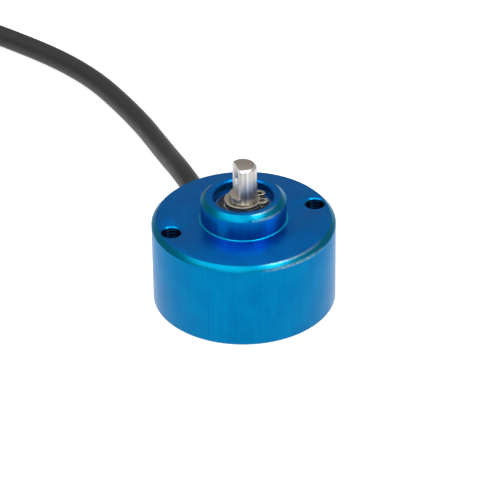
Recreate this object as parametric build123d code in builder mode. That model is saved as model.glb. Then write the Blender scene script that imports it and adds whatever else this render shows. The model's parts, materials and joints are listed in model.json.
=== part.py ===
"""Miniature magnetic rotary encoder: blue anodised housing, 6 mm shaft, cable out of the side.

Millimetres. The origin is the centre of the underside, +Z runs along the shaft, the two
mounting holes lie on the X axis, the shaft's flat faces -X and the cable leaves along +Y.
"""

import math
import os

from build123d import *

os.makedirs("parts", exist_ok=True)

# ---- driving dimensions ----------------------------------------------------------------
# housing
body_radius = 20.0
body_height = 19.7
body_top_chamfer = 1.0
body_bottom_chamfer = 0.3
wall = 3.0
boss_wall = 2.8
boss_height = 5.8
boss_chamfer = 1.15
boss_root_fillet = 0.25
bore_chamfer = 0.35
lip_width = 1.0
lip_thickness = 0.8
ceiling = 10.6  # height of the cavity's roof

# mounting holes in the flange, tapped for M4
mount_circle_radius = 16.5
mount_hole_radius = 2.0
mount_rim_radius = 2.36
mount_hole_depth = 7.0
mount_holes = 2

# rear cover
cover_thickness = 2.0
cover_clearance = 0.1
cover_seat_wall = 1.5  # what the cover's recess leaves of the housing wall
gasket_thickness = 0.5
gasket_width = 1.1
pillar_circle_radius = 14.2
pillar_radius = 2.2
pillars = 3
pillar_start_angle = 30.0
cover_screw_radius = 1.0
cover_screw_length = 6.0
cover_screw_head_radius = 1.9
cover_screw_head_height = 1.1
screw_clearance = 0.05
counterbore_clearance = 0.15
slot_width = 0.5
slot_depth = 0.5

# ball bearings, 6 x 13 x 5
bearing_bore_radius = 3.0
bearing_radius = 6.5
bearing_width = 5.0
raceway_wall = 0.926
shoulder_depth = 0.244  # how far the rings' shoulders reach over the balls
balls_per_bearing = 9
ball_clearance = 0.03
bearing_edge_chamfer = 0.3
bearing_bore_chamfer = 0.2
cage_clearance = 0.12
cage_rim = 0.456
shield_thickness = 0.25
shield_inset = 0.1
shield_seat_width = 0.3
shield_clearance = 0.08
front_bearing_inset = 2.5  # below the boss's top face
disc_spring_height = 0.5
disc_spring_thickness = 0.25
disc_spring_width = 1.0
inner_spacer_wall = 1.0

# shaft
shaft_end_above_boss = 7.7
shaft_chamfer = 0.55
flat_offset = 1.5  # from the axis to the flat
flat_length = 7.16
dimple_radius = 1.0
dimple_depth = 0.6
groove_depth = 0.15
groove_slack = 0.03
collar_width = 1.0
collar_height = 1.5
stub_radius = 1.5
stub_length = 1.1

# retaining ring and shim
shim_thickness = 0.9
shim_width = 1.0
ring_thickness = 0.7
ring_seat_clearance = 0.02
ring_width = 1.3
ring_shift = 0.15  # the outer edge stands off the inner one, so the ring thins to its lugs
lug_radius = 1.3
lug_reach = 1.15  # from the shaft's surface to the middle of a lug
lug_half_angle = 21.7
lug_hole_radius = 0.58
ring_gap_angle = -8.0
ring_gap_half_angle = 10.0

# magnet and its holder
magnet_radius = 3.0
magnet_height = 2.0
holder_wall = 0.9
holder_web = 0.3

# circuit board
board_radius = 11.8
board_thickness = 1.6
sensor_gap = 1.0  # from the sensor's face to the magnet
sensor_side = 4.9
sensor_height = 0.9
sensor_pins = 4  # on each side
pin_pitch = 1.0
pin_size = (0.9, 0.45, 0.3)
standoff_circle_radius = 9.3
standoff_radius = 1.6
stud_radius = 1.0
stud_length = 3.0
board_screw_radius = 0.8
board_screw_length = 4.5
board_screw_head_radius = 1.45
board_screw_head_height = 0.8
driver_size = (4.4, 3.0, 1.0)
driver_place = (-5.6, -3.6)
capacitor_size = (1.6, 0.8, 0.7)
capacitor_places = [(4.6, -4.2), (4.6, -5.8), (4.6, -7.4), (-5.0, 1.0), (5.4, 0.6)]
pad_size = (1.7, 2.2, 0.12)
pad_pitch = 2.5
pad_y = 9.3

# cable
cable_radius = 2.5
cable_height = 7.0
cable_inner_length = 3.0
clamp_wall = 0.8
clamp_width = 1.6
clamp_gap = 0.2
grommet_wall = 0.6
grommet_flange_width = 1.3
grommet_inner_flange_width = 0.4
grommet_inner_flange_thickness = 1.0
grommet_inset = 0.6
spot_face_depth = 0.8
spot_face_clearance = 0.1
grommet_flange_thickness = 1.6
grommet_boot_length = 9.0
grommet_boot_step = 0.4
grommet_tip_wall = 0.7
lead_colours = ["red", "black", "white", "green", "yellow"]
lead_radius = 0.5
lead_circle_radius = 1.25
inner_lead_straight = 0.8
inner_lead_bend = 0.6
flying_lead_bend = 4.0
straight_length = 4.0  # of a flying lead, before it turns aside
lead_clearance = 0.1
landing_length = 8.0  # from there to the coil's top

# the cable's coil and its far end
coil_centre = (-14.0, 187.0)
coil_mean_radius = 25.0
coil_lift = 0.8  # the thickness of the tie under it
tie_width = 5.0
tie_angles = (-8.0, 250.0)
sleeve_radius = 2.9
sleeve_length = 11.0
flying_length = 15.0
flying_turn = -60.0  # the leads bend aside to stay on the coil
flying_fan = 8.0  # degrees between one flying lead and the next
ferrule_radius = 0.75
ferrule_length = 6.0

BOTTOM = (Align.CENTER, Align.CENTER, Align.MIN)
TOP = (Align.CENTER, Align.CENTER, Align.MAX)
UPRIGHT = Axis.Z

# ---- sizes and heights worked out from those above -------------------------------------------
boss_radius = bearing_radius + boss_wall
lip_radius = bearing_radius - lip_width
boss_top = body_height + boss_height
shaft_top = boss_top + shaft_end_above_boss
bore_floor = ceiling + lip_thickness
front_bearing_bottom = boss_top - front_bearing_inset - bearing_width
rear_bearing_bottom = bore_floor + disc_spring_height
rear_bearing_top = rear_bearing_bottom + bearing_width
ring_bottom = front_bearing_bottom + bearing_width + shim_thickness
collar_bottom = rear_bearing_bottom - collar_height
stub_bottom = collar_bottom - stub_length
magnet_top = stub_bottom - holder_web
magnet_bottom = magnet_top - magnet_height
sensor_top = magnet_bottom - sensor_gap
board_top = sensor_top - sensor_height
board_bottom = board_top - board_thickness
cavity_radius = body_radius - wall
cover_seat_radius = body_radius - cover_seat_wall
cover_seat_height = cover_thickness + gasket_thickness
ball_circle_radius = (bearing_bore_radius + bearing_radius) / 2
ball_radius = (bearing_radius - bearing_bore_radius) / 2 - raceway_wall - ball_clearance
outer_shoulder_radius = ball_circle_radius + ball_radius - shoulder_depth
inner_shoulder_radius = ball_circle_radius - ball_radius + shoulder_depth
cage_thickness = outer_shoulder_radius - inner_shoulder_radius - 2 * cage_clearance
cage_width = 2 * (ball_radius + cage_rim)
lug_circle_radius = bearing_bore_radius + lug_reach
cable_face = body_radius - spot_face_depth
grommet_tip = cable_face + grommet_flange_thickness + grommet_boot_length
grommet_inner_face = cavity_radius - grommet_inset - grommet_inner_flange_thickness
grommet_neck_radius = cable_radius + grommet_wall
grommet_flange_radius = grommet_neck_radius + grommet_flange_width
clamp_place = grommet_inner_face - clamp_gap - clamp_width / 2
cable_inner_end = grommet_inner_face - cable_inner_length


def save(part, label):
    """Name a finished piece and write it to its own STEP file."""
    part.label = label
    export_step(part, f"parts/{label}.step")


def rims(builder, radius, height):
    """The round edges of one radius at one height."""
    rounds = builder.edges().filter_by(GeomType.CIRCLE)
    return rounds.filter_by(
        lambda e: abs(e.radius - radius) < 0.001 and abs(e.arc_center.Z - height) < 0.001
    )


def along_cable(y):
    """The plane across the cable's inner stretch at y, facing out of the housing."""
    return Plane(origin=(0, y, cable_height), x_dir=(1, 0, 0), z_dir=(0, 1, 0))


# ---- housing ---------------------------------------------------------------------------
with BuildPart() as housing:
    Cylinder(body_radius, body_height, align=BOTTOM)
    with Locations((0, 0, body_height)):
        Cylinder(boss_radius, boss_height, align=BOTTOM)
    chamfer(rims(housing, body_radius, body_height), body_top_chamfer)
    chamfer(rims(housing, body_radius, 0), body_bottom_chamfer)
    chamfer(rims(housing, boss_radius, boss_top), boss_chamfer)
    fillet(rims(housing, boss_radius, body_height), boss_root_fillet)
    with Locations((0, 0, bore_floor)):
        Cylinder(bearing_radius, boss_top - bore_floor, align=BOTTOM, mode=Mode.SUBTRACT)
    chamfer(rims(housing, bearing_radius, boss_top), bore_chamfer)
    Cylinder(lip_radius, bore_floor, align=BOTTOM, mode=Mode.SUBTRACT)
    Cylinder(cavity_radius, ceiling, align=BOTTOM, mode=Mode.SUBTRACT)
    Cylinder(cover_seat_radius, cover_seat_height, align=BOTTOM, mode=Mode.SUBTRACT)
    # three pillars for the rear cover's screws
    with BuildSketch(Plane.XY.offset(cover_thickness)):
        with PolarLocations(pillar_circle_radius, pillars, pillar_start_angle):
            Circle(pillar_radius)
    extrude(amount=ceiling - cover_thickness)
    with BuildSketch(Plane.XY.offset(cover_thickness)):
        with PolarLocations(pillar_circle_radius, pillars, pillar_start_angle):
            Circle(cover_screw_radius + screw_clearance)
    extrude(amount=cover_screw_length, mode=Mode.SUBTRACT)
    # tapped holes in the cavity's roof for the circuit board's standoffs
    with BuildSketch(Plane.XY.offset(ceiling)):
        with PolarLocations(standoff_circle_radius, pillars, pillar_start_angle):
            Circle(stud_radius + screw_clearance)
    extrude(amount=stud_length + screw_clearance, mode=Mode.SUBTRACT)
    # tapped mounting holes in the flange face
    with Locations(Plane.XY.offset(body_height)):
        with PolarLocations(mount_circle_radius, mount_holes):
            CounterSinkHole(mount_hole_radius, mount_rim_radius, mount_hole_depth, 90)
    # way out for the cable, with a flat spot face for the grommet's flange
    with BuildSketch(along_cable(cavity_radius - wall)):
        Circle(grommet_neck_radius)
    extrude(amount=2 * wall, mode=Mode.SUBTRACT)
    with BuildSketch(along_cable(cable_face)):
        Circle(grommet_flange_radius + spot_face_clearance)
    extrude(amount=wall, mode=Mode.SUBTRACT)
save(housing.part, "housing")

# ---- rear cover, gasket and screws -----------------------------------------------------
with BuildPart() as rear_cover:
    Cylinder(cover_seat_radius - cover_clearance, cover_thickness, align=BOTTOM)
    chamfer(rims(rear_cover, cover_seat_radius - cover_clearance, 0), body_bottom_chamfer)
    with BuildSketch(Plane.XY):
        with PolarLocations(pillar_circle_radius, pillars, pillar_start_angle):
            Circle(cover_screw_radius + counterbore_clearance)
    extrude(amount=cover_thickness, mode=Mode.SUBTRACT)
    with BuildSketch(Plane.XY):
        with PolarLocations(pillar_circle_radius, pillars, pillar_start_angle):
            Circle(cover_screw_head_radius + counterbore_clearance)
    extrude(amount=cover_screw_head_height + screw_clearance, mode=Mode.SUBTRACT)
save(rear_cover.part, "rear_cover")

with BuildPart() as cover_gasket:
    with BuildSketch(Plane.XY.offset(cover_thickness)):
        Circle(cover_seat_radius - cover_clearance)
        Circle(cover_seat_radius - cover_clearance - gasket_width, mode=Mode.SUBTRACT)
    extrude(amount=gasket_thickness)
save(cover_gasket.part, "cover_gasket")


def slotted_screws(head_plane, head_radius, head_height, radius, length, circle_radius):
    """Slotted screws on a circle. The heads' undersides lie on the plane, shanks above."""
    places = PolarLocations(circle_radius, pillars, pillar_start_angle)
    with BuildPart() as screws:
        with BuildSketch(head_plane):
            with PolarLocations(circle_radius, pillars, pillar_start_angle):
                Circle(head_radius)
        extrude(amount=-head_height)
        with BuildSketch(head_plane):
            with PolarLocations(circle_radius, pillars, pillar_start_angle):
                Circle(radius)
        extrude(amount=length)
        with BuildSketch(head_plane.offset(-head_height)):
            with Locations(*[Location(place.position) for place in places]):
                Rectangle(2 * head_radius, slot_width)
        extrude(amount=slot_depth, mode=Mode.SUBTRACT)
    return screws.part


cover_screws = slotted_screws(
    Plane.XY.offset(cover_screw_head_height + screw_clearance),
    cover_screw_head_radius,
    cover_screw_head_height,
    cover_screw_radius,
    cover_thickness - cover_screw_head_height + cover_screw_length - slot_depth,
    pillar_circle_radius,
)
save(cover_screws, "cover_screws")


# ---- ball bearings ---------------------------------------------------------------------
def make_bearing(name, bottom):
    """A shielded deep groove ball bearing as five pieces, standing on the height given."""
    middle = Plane.XY.offset(bottom + bearing_width / 2)
    raceway_radius = ball_radius + ball_clearance
    shield_seat_depth = shield_inset + shield_thickness
    shield_seat_radius = outer_shoulder_radius + shield_seat_width
    top = bottom + bearing_width

    with BuildPart() as outer_ring:
        with BuildSketch(Plane.XY.offset(bottom)):
            Circle(bearing_radius)
            Circle(outer_shoulder_radius, mode=Mode.SUBTRACT)
        extrude(amount=bearing_width)
        chamfer(
            rims(outer_ring, bearing_radius, bottom) + rims(outer_ring, bearing_radius, top),
            bearing_edge_chamfer,
        )
        for seat in (bottom, top - shield_seat_depth):
            with BuildSketch(Plane.XY.offset(seat)):
                Circle(shield_seat_radius)
            extrude(amount=shield_seat_depth, mode=Mode.SUBTRACT)
        with Locations(middle):
            Torus(ball_circle_radius, raceway_radius, mode=Mode.SUBTRACT)
    save(outer_ring.part, f"{name}_bearing_outer_ring")

    with BuildPart() as inner_ring:
        with BuildSketch(Plane.XY.offset(bottom)):
            Circle(inner_shoulder_radius)
            Circle(bearing_bore_radius, mode=Mode.SUBTRACT)
        extrude(amount=bearing_width)
        chamfer(
            rims(inner_ring, bearing_bore_radius, bottom)
            + rims(inner_ring, bearing_bore_radius, top),
            bearing_bore_chamfer,
        )
        with Locations(middle):
            Torus(ball_circle_radius, raceway_radius, mode=Mode.SUBTRACT)
    save(inner_ring.part, f"{name}_bearing_inner_ring")

    with BuildPart() as balls:
        with Locations(middle):
            with PolarLocations(ball_circle_radius, balls_per_bearing):
                Sphere(ball_radius)
    save(balls.part, f"{name}_bearing_balls")

    with BuildPart() as cage:
        with BuildSketch(middle):
            Circle(ball_circle_radius + cage_thickness / 2)
            Circle(ball_circle_radius - cage_thickness / 2, mode=Mode.SUBTRACT)
        extrude(amount=cage_width / 2, both=True)
        with Locations(middle):
            with PolarLocations(ball_circle_radius, balls_per_bearing):
                pocket_radius = ball_radius + ball_clearance
                Cylinder(
                    pocket_radius,
                    2 * cage_thickness,
                    rotation=(0, 90, 0),
                    mode=Mode.SUBTRACT,
                )
    save(cage.part, f"{name}_bearing_cage")

    with BuildPart() as shields:
        for seat in (bottom + shield_inset, top - shield_seat_depth):
            with BuildSketch(Plane.XY.offset(seat)):
                Circle(shield_seat_radius - screw_clearance)
                Circle(inner_shoulder_radius + shield_clearance, mode=Mode.SUBTRACT)
            extrude(amount=shield_thickness)
    save(shields.part, f"{name}_bearing_shields")


make_bearing("front", front_bearing_bottom)
make_bearing("rear", rear_bearing_bottom)

# A coned disc spring under the rear bearing takes up the play of both.
with BuildPart() as preload_spring:
    with BuildSketch(Plane.XZ):
        with BuildLine():
            spring_outside = bearing_radius - screw_clearance
            spring_rise = disc_spring_height - disc_spring_thickness
            Polyline(
                (spring_outside, bore_floor),
                (spring_outside, bore_floor + disc_spring_thickness),
                (spring_outside - disc_spring_width, bore_floor + disc_spring_height),
                (spring_outside - disc_spring_width, bore_floor + spring_rise),
                close=True,
            )
        make_face()
    revolve(axis=UPRIGHT)
save(preload_spring.part, "preload_disc_spring")

with BuildPart() as inner_spacer:
    with BuildSketch(Plane.XY.offset(rear_bearing_top)):
        Circle(bearing_bore_radius + inner_spacer_wall)
        Circle(bearing_bore_radius, mode=Mode.SUBTRACT)
    extrude(amount=front_bearing_bottom - rear_bearing_top)
save(inner_spacer.part, "inner_ring_spacer")

# ---- shaft -----------------------------------------------------------------------------
with BuildPart() as shaft:
    with BuildSketch(Plane.XY.offset(collar_bottom)):
        Circle(bearing_bore_radius)
    extrude(amount=shaft_top - collar_bottom)
    chamfer(rims(shaft, bearing_bore_radius, shaft_top), shaft_chamfer)
    with BuildSketch(Plane.XY.offset(collar_bottom)):
        Circle(bearing_bore_radius + collar_width)
    extrude(amount=collar_height)
    with BuildSketch(Plane.XY.offset(collar_bottom)):
        Circle(stub_radius)
    extrude(amount=-stub_length)
    # groove for the retaining ring
    with BuildSketch(Plane.XY.offset(ring_bottom - groove_slack)):
        Circle(bearing_bore_radius)
        Circle(bearing_bore_radius - groove_depth, mode=Mode.SUBTRACT)
    extrude(amount=ring_thickness + 2 * groove_slack, mode=Mode.SUBTRACT)
    # flat for a set screw, with a drilled dimple in its middle
    flat_middle = shaft_top - flat_length / 2
    with BuildSketch(Plane.XY.offset(shaft_top)):
        with Locations((-flat_offset, 0)):
            Rectangle(
                2 * bearing_bore_radius,
                3 * bearing_bore_radius,
                align=(Align.MAX, Align.CENTER),
            )
    extrude(amount=-flat_length, mode=Mode.SUBTRACT)
    with BuildSketch(Plane.XZ):
        with BuildLine():
            Polyline(
                (-flat_offset - dimple_depth, flat_middle),
                (-flat_offset - dimple_depth, flat_middle + 2 * dimple_radius),
                (-flat_offset + dimple_depth, flat_middle),
                close=True,
            )
        make_face()
    revolve(axis=Axis((0, 0, flat_middle), (1, 0, 0)), mode=Mode.SUBTRACT)
save(shaft.part, "shaft")

with BuildPart() as shim_washer:
    with BuildSketch(Plane.XY.offset(ring_bottom - shim_thickness)):
        Circle(bearing_bore_radius + ring_seat_clearance + shim_width)
        Circle(bearing_bore_radius + ring_seat_clearance, mode=Mode.SUBTRACT)
    extrude(amount=shim_thickness)
save(shim_washer.part, "shim_washer")

with BuildPart() as retaining_ring:
    ring_bore = bearing_bore_radius - groove_depth + ring_seat_clearance
    turned = Plane(origin=(0, 0, ring_bottom), x_dir=(1, 0, 0), z_dir=(0, 0, 1))
    with BuildSketch(turned.rotated((0, 0, ring_gap_angle))):
        with Locations((-ring_shift, 0)):
            Circle(ring_bore + ring_width - ring_shift)
        for side in (-lug_half_angle, lug_half_angle):
            with PolarLocations(lug_circle_radius, 1, side):
                Circle(lug_radius)
        Circle(ring_bore, mode=Mode.SUBTRACT)
        gap_reach = 2 * lug_circle_radius
        gap_half_width = gap_reach * math.tan(math.radians(ring_gap_half_angle))
        with BuildLine():
            Polyline(
                (0, 0),
                (gap_reach, gap_half_width),
                (gap_reach, -gap_half_width),
                close=True,
            )
        make_face(mode=Mode.SUBTRACT)
        for side in (-lug_half_angle, lug_half_angle):
            with PolarLocations(lug_circle_radius, 1, side):
                Circle(lug_hole_radius, mode=Mode.SUBTRACT)
    extrude(amount=ring_thickness)
save(retaining_ring.part, "retaining_ring")

# ---- magnet ----------------------------------------------------------------------------
with BuildPart() as magnet_holder:
    with BuildSketch(Plane.XY.offset(magnet_bottom)):
        Circle(magnet_radius + holder_wall)
    extrude(amount=collar_bottom - magnet_bottom)
    with BuildSketch(Plane.XY.offset(magnet_bottom)):
        Circle(magnet_radius)
    extrude(amount=magnet_height, mode=Mode.SUBTRACT)
    with BuildSketch(Plane.XY.offset(stub_bottom)):
        Circle(stub_radius)
    extrude(amount=stub_length, mode=Mode.SUBTRACT)
save(magnet_holder.part, "magnet_holder")

with BuildPart() as magnet:
    with BuildSketch(Plane.XY.offset(magnet_bottom)):
        Circle(magnet_radius)
    extrude(amount=magnet_height)
save(magnet.part, "magnet")

# ---- circuit board ---------------------------------------------------------------------
with BuildPart() as circuit_board:
    with BuildSketch(Plane.XY.offset(board_bottom)):
        Circle(board_radius)
        with PolarLocations(standoff_circle_radius, pillars, pillar_start_angle):
            Circle(board_screw_radius + screw_clearance, mode=Mode.SUBTRACT)
    extrude(amount=board_thickness)
save(circuit_board.part, "circuit_board")

with BuildPart() as board_standoffs:
    with BuildSketch(Plane.XY.offset(board_top)):
        with PolarLocations(standoff_circle_radius, pillars, pillar_start_angle):
            RegularPolygon(standoff_radius, 6)
    extrude(amount=ceiling - board_top)
    with BuildSketch(Plane.XY.offset(ceiling)):
        with PolarLocations(standoff_circle_radius, pillars, pillar_start_angle):
            Circle(stud_radius)
    extrude(amount=stud_length)
    with BuildSketch(Plane.XY.offset(board_top)):
        with PolarLocations(standoff_circle_radius, pillars, pillar_start_angle):
            Circle(board_screw_radius + screw_clearance)
    extrude(amount=board_screw_length - board_thickness, mode=Mode.SUBTRACT)
save(board_standoffs.part, "board_standoffs")

board_screws = slotted_screws(
    Plane.XY.offset(board_bottom),
    board_screw_head_radius,
    board_screw_head_height,
    board_screw_radius,
    board_screw_length - screw_clearance,
    standoff_circle_radius,
)
save(board_screws, "board_screws")

with BuildPart() as sensor_chip:
    with Locations((0, 0, board_top)):
        Box(sensor_side, sensor_side, sensor_height, align=BOTTOM)
    chamfer(sensor_chip.faces().sort_by(UPRIGHT)[-1].edges(), sensor_height / 6)
save(sensor_chip.part, "sensor_chip")

with BuildPart() as sensor_leads:
    lead_place = (sensor_side + pin_size[0]) / 2
    with Locations((-lead_place, 0, board_top), (lead_place, 0, board_top)):
        with GridLocations(pin_pitch, pin_pitch, 1, sensor_pins):
            Box(*pin_size, align=BOTTOM)
save(sensor_leads.part, "sensor_leads")

with BuildPart() as line_driver_chip:
    with Locations((*driver_place, board_top)):
        Box(*driver_size, align=BOTTOM)
save(line_driver_chip.part, "line_driver_chip")

with BuildPart() as capacitors:
    with Locations(*[(x, y, board_top) for x, y in capacitor_places]):
        Box(*capacitor_size, align=BOTTOM)
save(capacitors.part, "board_capacitors")

with BuildPart() as solder_pads:
    with Locations((0, pad_y, board_top)):
        with GridLocations(pad_pitch, pad_pitch, len(lead_colours), 1):
            Box(*pad_size, align=BOTTOM)
save(solder_pads.part, "solder_pads")

# ---- cable entry -----------------------------------------------------------------------
with BuildPart() as cable_grommet:
    with BuildSketch(along_cable(grommet_inner_face)):
        Circle(grommet_neck_radius + grommet_inner_flange_width)
    extrude(amount=grommet_inner_flange_thickness)
    with BuildSketch(along_cable(grommet_inner_face)):
        Circle(grommet_neck_radius)
    extrude(amount=cable_face - grommet_inner_face)
    with BuildSketch(along_cable(cable_face)):
        Circle(grommet_flange_radius)
    extrude(amount=grommet_flange_thickness)
    with BuildSketch(along_cable(cable_face + grommet_flange_thickness)):
        Circle(grommet_flange_radius - grommet_boot_step)
    with BuildSketch(along_cable(grommet_tip)):
        Circle(cable_radius + grommet_tip_wall)
    loft()
    with BuildSketch(along_cable(grommet_inner_face)):
        Circle(cable_radius)
    extrude(amount=grommet_tip - grommet_inner_face, mode=Mode.SUBTRACT)
save(cable_grommet.part, "cable_grommet")

with BuildPart() as cable_inner:
    with BuildSketch(along_cable(cable_inner_end)):
        Circle(cable_radius)
    extrude(amount=grommet_tip - cable_inner_end)
save(cable_inner.part, "cable_inner_end")

with BuildPart() as cable_clamp:
    with BuildSketch(along_cable(clamp_place - clamp_width / 2)):
        Circle(cable_radius + clamp_wall)
        Circle(cable_radius, mode=Mode.SUBTRACT)
    extrude(amount=clamp_width)
save(cable_clamp.part, "cable_clamp")


def lead_offsets():
    """Where the five leads stand in the cable's section, from left to right."""
    turn = 360 / len(lead_colours)
    angles = [math.radians(90 + turn * n) for n in range(len(lead_colours))]
    offsets = [(lead_circle_radius * math.cos(a), lead_circle_radius * math.sin(a)) for a in angles]
    return sorted(offsets)


def wire(points, radius, bend):
    """A round wire along straight runs joined by arcs of one radius."""
    with BuildPart() as made:
        with BuildLine() as path:
            FilletPolyline(*points, radius=bend)
        with BuildSketch(Plane(origin=path.line @ 0, z_dir=path.line % 0)):
            Circle(radius)
        sweep()
    return made.part


# Inside the housing the leads fan out from the cable's end down to the solder pads.
pad_top = board_top + pad_size[2]
for number, colour in enumerate(lead_colours):
    across, up = lead_offsets()[number]
    pad_x = (number - (len(lead_colours) - 1) / 2) * pad_pitch
    inner_lead = wire(
        [
            (across, cable_inner_end, cable_height + up),
            (across, cable_inner_end - inner_lead_straight, cable_height + up),
            (pad_x, pad_y + inner_lead_straight, pad_top + lead_radius),
            (pad_x, pad_y - inner_lead_straight, pad_top + lead_radius),
        ],
        lead_radius,
        inner_lead_bend,
    )
    save(inner_lead, f"inner_lead_{colour}")


# ---- free cable ------------------------------------------------------------------------
def corner_radii(points):
    """As large an arc at each corner as its two runs allow."""
    radii = []
    for before, here, after in zip(points, points[1:], points[2:]):
        arriving = Vector(*here) - Vector(*before)
        leaving = Vector(*after) - Vector(*here)
        half_turn = math.radians(arriving.get_angle(leaving) / 2)
        radii.append(0.45 * min(arriving.length, leaving.length) / math.tan(half_turn))
    return radii


def make_cable(points, label):
    """A stretch of the cable along its route, with its bends and volume printed."""
    radii = corner_radii(points)
    with BuildPart() as stretch:
        with BuildLine() as path:
            FilletPolyline(*points, radius=radii)
        with BuildSketch(Plane(origin=path.line @ 0, z_dir=path.line % 0)):
            Circle(cable_radius)
        sweep()
    length = sum(edge.length for edge in path.line.edges())
    expected = math.pi * cable_radius**2 * length
    print(label, "length", round(length, 1), "bends", [round(radius) for radius in radii])
    print(label, "volume", round(stretch.part.volume), "expected", round(expected))
    save(stretch.part, label)
    return path.line


# The visible stretch runs from the grommet's tip down to the floor and away to the coil.
cable_route = [
    (0.0, grommet_tip, cable_height),
    (0.0, 40.0, cable_height),
    (1.2, 53.0, 2.6),
    (0.9, 76.0, 2.5),
    (-5.5, 104.0, 2.5),
    (-22.0, 131.0, 2.5),
    (-36.5, 149.0, 2.7),
    (-42.8, 165.5, 3.1),
    (-44.3, 180.0, 3.3),
]
make_cable(cable_route, "cable")

# Five turns: three side by side on the floor and two in the hollows between them.
coil_floor = coil_lift + cable_radius
layer_rise = cable_radius * math.sqrt(3)
coil_section = [(coil_mean_radius + 2 * cable_radius * n, coil_floor) for n in (-1, 0, 1)]
coil_section += [
    (coil_mean_radius + cable_radius * n, coil_floor + layer_rise) for n in (-1, 1)
]
coil_top = coil_floor + layer_rise + cable_radius
coil_axis = Axis((*coil_centre, 0), (0, 0, 1))


def across_coil(degrees):
    """The upright plane through the coil's axis, with its own X outwards at that angle."""
    turn = math.radians(degrees)
    outwards = (math.cos(turn), math.sin(turn), 0)
    return Plane(origin=(*coil_centre, 0), x_dir=outwards, z_dir=(math.sin(turn), -math.cos(turn), 0))


with BuildPart() as cable_coil:
    with BuildSketch(across_coil(0)):
        with Locations(*coil_section):
            Circle(cable_radius)
        make_hull()
    revolve(axis=coil_axis)
save(cable_coil.part, "cable_coil")

with BuildPart() as coil_ties:
    for tie_angle in tie_angles:
        with BuildSketch(across_coil(tie_angle)):
            with Locations(*coil_section):
                Circle(cable_radius + coil_lift)
            make_hull()
        extrude(amount=tie_width / 2, both=True)
    add(cable_coil.part, mode=Mode.SUBTRACT)
save(coil_ties.part, "coil_ties")

# The cable's end climbs out of the upper layer and lies on top of the coil.
tail_route = [
    (-28.6, 163.7, 7.7),
    (-34.4, 168.7, 8.7),
    (-39.2, 179.3, 11.3),
    (-39.3, 191.0, 13.1),
    (-35.0, 201.7, 13.1),
    (-26.4, 209.4, 13.1),
    (-15.8, 212.5, 13.1),
    (-4.9, 210.8, 13.1),
]
tail = make_cable(tail_route, "cable_tail")

sleeve_plane = Plane(origin=tail @ 1, z_dir=tail % 1)
with BuildPart() as end_sleeve:
    with BuildSketch(sleeve_plane):
        Circle(sleeve_radius)
    extrude(amount=sleeve_length)
    chamfer(end_sleeve.edges().filter_by(GeomType.CIRCLE), 0.4)
save(end_sleeve.part, "end_sleeve")

# The flying leads fan out of the sleeve over the coil, each with a crimped ferrule.
ahead = Vector(tail_route[-1]) - Vector(tail_route[-2])
ahead = Vector(ahead.X, ahead.Y, 0).normalized()
left = ahead.rotate(UPRIGHT, 90)
ferrule_places = []
for number, colour in enumerate(lead_colours):
    across, up = lead_offsets()[number]
    turned = flying_turn + (number - (len(lead_colours) - 1) / 2) * flying_fan
    heading = ahead.rotate(UPRIGHT, turned)
    start = tail @ 1 + ahead * sleeve_length + left * across + Vector(0, 0, up)
    knee = start + ahead * straight_length
    landing = knee + heading * landing_length
    landing = Vector(landing.X, landing.Y, coil_top + ferrule_radius + lead_clearance)
    finish = landing + heading * (flying_length - straight_length - landing_length)
    save(wire([start, knee, landing, finish], lead_radius, flying_lead_bend), f"flying_lead_{colour}")
    ferrule_places.append(Plane(origin=finish, z_dir=heading))

with BuildPart() as lead_ferrules:
    for place in ferrule_places:
        with BuildSketch(place):
            Circle(ferrule_radius)
        extrude(amount=ferrule_length)
save(lead_ferrules.part, "lead_ferrules")
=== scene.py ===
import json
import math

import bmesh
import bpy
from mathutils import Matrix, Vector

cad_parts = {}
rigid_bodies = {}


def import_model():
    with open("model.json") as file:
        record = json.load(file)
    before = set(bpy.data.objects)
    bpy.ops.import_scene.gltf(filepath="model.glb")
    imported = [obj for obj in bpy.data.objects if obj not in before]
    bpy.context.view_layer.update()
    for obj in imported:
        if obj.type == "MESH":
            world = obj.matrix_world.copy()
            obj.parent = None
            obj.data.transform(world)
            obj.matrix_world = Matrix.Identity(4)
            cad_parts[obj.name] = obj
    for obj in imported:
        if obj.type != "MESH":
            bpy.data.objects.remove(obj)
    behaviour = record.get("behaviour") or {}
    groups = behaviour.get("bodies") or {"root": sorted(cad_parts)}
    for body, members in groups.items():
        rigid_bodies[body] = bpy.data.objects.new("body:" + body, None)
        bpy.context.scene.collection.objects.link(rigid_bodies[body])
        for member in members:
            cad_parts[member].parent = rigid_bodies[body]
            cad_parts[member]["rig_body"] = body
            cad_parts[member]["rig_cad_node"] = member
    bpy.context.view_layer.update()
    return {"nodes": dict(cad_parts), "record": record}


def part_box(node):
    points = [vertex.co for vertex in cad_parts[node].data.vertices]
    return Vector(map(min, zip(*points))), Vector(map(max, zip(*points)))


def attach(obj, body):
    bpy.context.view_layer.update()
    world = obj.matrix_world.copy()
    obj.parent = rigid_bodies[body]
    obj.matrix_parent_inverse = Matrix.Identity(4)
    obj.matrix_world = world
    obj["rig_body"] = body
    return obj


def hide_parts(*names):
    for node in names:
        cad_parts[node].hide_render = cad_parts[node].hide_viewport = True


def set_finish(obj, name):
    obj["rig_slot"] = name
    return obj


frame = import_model()

# %% [markdown]
# # A miniature rotary encoder
# The frame already holds every working piece at its true size: housing, shaft, bearings,
# retaining ring, magnet, circuit board and cable. This lesson dresses them. We look through
# a long lens, lay the cable, model the small details that a maker would notice, give each
# finish its own grain, and light the metal softly.

MM = 0.001
slot_of = {row["node"]: row["material_slot"] for row in frame["record"]["subparts"]}


def mm(*points):
    """Points in millimetres, turned to metres."""
    return [Vector(point) * MM for point in points]


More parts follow.
